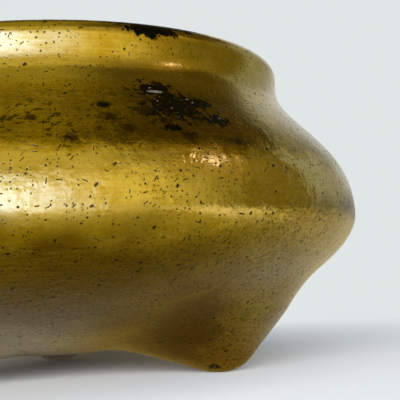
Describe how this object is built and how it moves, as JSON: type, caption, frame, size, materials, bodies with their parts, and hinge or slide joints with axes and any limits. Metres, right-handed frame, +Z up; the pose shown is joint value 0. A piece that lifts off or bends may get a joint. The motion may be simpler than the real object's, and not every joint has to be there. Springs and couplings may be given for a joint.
{
  "type": "tripod incense burner",
  "caption": "Low round bronze incense burner with a crisp everted lip, short neck and swelling belly, on three breast-shaped feet riveted under the bowl.",
  "frame": {"origin": "on the table plane, under the middle of the bowl", "axes": "+Z up along the bowl's axis, -Y towards the picture's viewer, +X to the viewer's right"},
  "size_m": [0.13, 0.13, 0.0647],
  "materials": {
    "bowl_bronze": "polished, worn, with dark pits and patches of brown patina",
    "foot_bronze": "polished and worn, darker at the tip",
    "panel_bronze": "unpolished dark patina"
  },
  "bodies": {
    "root": {"bowl": "bowl_bronze", "foot_front_right": "foot_bronze", "foot_front_left": "foot_bronze", "foot_rear": "foot_bronze", "base_panel": "panel_bronze"}
  },
  "joints": []
}
